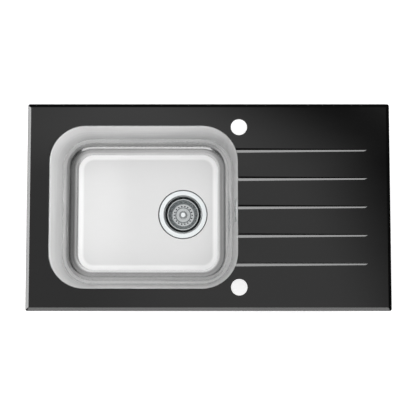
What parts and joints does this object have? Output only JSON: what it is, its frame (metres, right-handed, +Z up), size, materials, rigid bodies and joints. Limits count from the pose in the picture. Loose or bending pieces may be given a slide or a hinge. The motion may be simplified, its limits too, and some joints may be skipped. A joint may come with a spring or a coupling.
{
  "type": "kitchen sink",
  "caption": "Inset kitchen sink: black glass plate with a stainless bowl on the left, a grooved drainer on the right, strainer waste, overflow and fixing clips.",
  "frame": {"origin": "centre of the worktop's cut-out, level with the top of the worktop, on which the pressed foam seal rests", "axes": "+X towards the drainer, +Y towards the wall behind the sink, +Z up"},
  "size_m": [0.78, 0.445, 0.2595],
  "materials": {
    "black_glass": "polished, edges bevelled and polished",
    "stainless_satin": "satin",
    "stainless_polished": "polished",
    "adhesive": "matt",
    "foam": "closed-cell foam, matt",
    "bitumen": "matt, dimpled",
    "rail_aluminium": "mill finish",
    "zinc_steel": "zinc plated",
    "cast_zinc": "as cast",
    "rubber": "matt",
    "dark_plastic": "moulded, fine grain",
    "hose_plastic": "moulded, smooth",
    "brass": "turned"
  },
  "bodies": {
    "sink": {"glass_plate": "black_glass", "sink_bowl": "stainless_satin", "bowl_bond": "adhesive", "sound_pad_floor": "bitumen", "sound_pad_front": "bitumen", "sound_pad_rear": "bitumen", "sound_pad_left": "bitumen", "edge_seal": "foam", "rail_front": "rail_aluminium", "rail_rear": "rail_aluminium", "rail_left": "rail_aluminium", "rail_right": "rail_aluminium", "clip_brackets": "zinc_steel", "strainer_top": "stainless_polished", "strainer_gasket": "rubber", "waste_gasket": "rubber", "waste_body": "dark_plastic", "waste_insert": "brass", "waste_screw": "stainless_polished", "overflow_plate": "stainless_polished", "overflow_gasket": "rubber", "overflow_elbow": "dark_plastic", "overflow_screw": "stainless_polished", "overflow_hose": "hose_plastic", "hose_nut_upper": "dark_plastic", "hose_nut_lower": "dark_plastic", "hose_ring_upper": "rubber", "hose_ring_lower": "rubber"},
    "basket": {"basket_cup": "stainless_polished", "basket_knob": "stainless_polished", "basket_stem": "stainless_polished", "basket_seal": "rubber"},
    "clip_1_jaw": {"clip_jaw_1": "cast_zinc"},
    "clip_1_screw": {"clip_screw_1": "zinc_steel"},
    "clip_2_jaw": {"clip_jaw_2": "cast_zinc"},
    "clip_2_screw": {"clip_screw_2": "zinc_steel"},
    "clip_3_jaw": {"clip_jaw_3": "cast_zinc"},
    "clip_3_screw": {"clip_screw_3": "zinc_steel"},
    "clip_4_jaw": {"clip_jaw_4": "cast_zinc"},
    "clip_4_screw": {"clip_screw_4": "zinc_steel"},
    "clip_5_jaw": {"clip_jaw_5": "cast_zinc"},
    "clip_5_screw": {"clip_screw_5": "zinc_steel"},
    "clip_6_jaw": {"clip_jaw_6": "cast_zinc"},
    "clip_6_screw": {"clip_screw_6": "zinc_steel"},
    "clip_7_jaw": {"clip_jaw_7": "cast_zinc"},
    "clip_7_screw": {"clip_screw_7": "zinc_steel"},
    "clip_8_jaw": {"clip_jaw_8": "cast_zinc"},
    "clip_8_screw": {"clip_screw_8": "zinc_steel"}
  },
  "joints": [
    {"name": "basket_lift", "type": "slide", "parent": "sink", "child": "basket", "axis": [0, 0, 1], "range_m": [0, 0.22]},
    {"name": "clip_1_travel", "type": "slide", "parent": "sink", "child": "clip_1_jaw", "axis": [0, 0, 1], "range_m": [-0.012, 0.01]},
    {"name": "clip_1_turn", "type": "hinge", "parent": "clip_1_jaw", "child": "clip_1_screw", "pos_m": [0.299, -0.1995, -0.06], "axis": [0, 0, 1], "range_deg": [-5401, 4501]},
    {"name": "clip_2_travel", "type": "slide", "parent": "sink", "child": "clip_2_jaw", "axis": [0, 0, 1], "range_m": [-0.012, 0.01]},
    {"name": "clip_2_turn", "type": "hinge", "parent": "clip_2_jaw", "child": "clip_2_screw", "pos_m": [0, -0.1995, -0.06], "axis": [0, 0, 1], "range_deg": [-5401, 4501]},
    {"name": "clip_3_travel", "type": "slide", "parent": "sink", "child": "clip_3_jaw", "axis": [0, 0, 1], "range_m": [-0.012, 0.01]},
    {"name": "clip_3_turn", "type": "hinge", "parent": "clip_3_jaw", "child": "clip_3_screw", "pos_m": [-0.299, -0.1995, -0.06], "axis": [0, 0, 1], "range_deg": [-5401, 4501]},
    {"name": "clip_4_travel", "type": "slide", "parent": "sink", "child": "clip_4_jaw", "axis": [0, 0, 1], "range_m": [-0.012, 0.01]},
    {"name": "clip_4_turn", "type": "hinge", "parent": "clip_4_jaw", "child": "clip_4_screw", "pos_m": [-0.299, 0.1995, -0.06], "axis": [0, 0, 1], "range_deg": [-5401, 4501]},
    {"name": "clip_5_travel", "type": "slide", "parent": "sink", "child": "clip_5_jaw", "axis": [0, 0, 1], "range_m": [-0.012, 0.01]},
    {"name": "clip_5_turn", "type": "hinge", "parent": "clip_5_jaw", "child": "clip_5_screw", "pos_m": [0, 0.1995, -0.06], "axis": [0, 0, 1], "range_deg": [-5401, 4501]},
    {"name": "clip_6_travel", "type": "slide", "parent": "sink", "child": "clip_6_jaw", "axis": [0, 0, 1], "range_m": [-0.012, 0.01]},
    {"name": "clip_6_turn", "type": "hinge", "parent": "clip_6_jaw", "child": "clip_6_screw", "pos_m": [0.299, 0.1995, -0.06], "axis": [0, 0, 1], "range_deg": [-5401, 4501]},
    {"name": "clip_7_travel", "type": "slide", "parent": "sink", "child": "clip_7_jaw", "axis": [0, 0, 1], "range_m": [-0.012, 0.01]},
    {"name": "clip_7_turn", "type": "hinge", "parent": "clip_7_jaw", "child": "clip_7_screw", "pos_m": [-0.367, 0, -0.06], "axis": [0, 0, 1], "range_deg": [-5401, 4501]},
    {"name": "clip_8_travel", "type": "slide", "parent": "sink", "child": "clip_8_jaw", "axis": [0, 0, 1], "range_m": [-0.012, 0.01]},
    {"name": "clip_8_turn", "type": "hinge", "parent": "clip_8_jaw", "child": "clip_8_screw", "pos_m": [0.367, 0, -0.06], "axis": [0, 0, 1], "range_deg": [-5401, 4501]}
  ],
  "couplings": [
    {"joint": "clip_1_turn", "follows": "clip_1_travel", "rad_per_m": 7854},
    {"joint": "clip_2_turn", "follows": "clip_2_travel", "rad_per_m": 7854},
    {"joint": "clip_3_turn", "follows": "clip_3_travel", "rad_per_m": 7854},
    {"joint": "clip_4_turn", "follows": "clip_4_travel", "rad_per_m": 7854},
    {"joint": "clip_5_turn", "follows": "clip_5_travel", "rad_per_m": 7854},
    {"joint": "clip_6_turn", "follows": "clip_6_travel", "rad_per_m": 7854},
    {"joint": "clip_7_turn", "follows": "clip_7_travel", "rad_per_m": 7854},
    {"joint": "clip_8_turn", "follows": "clip_8_travel", "rad_per_m": 7854}
  ]
}
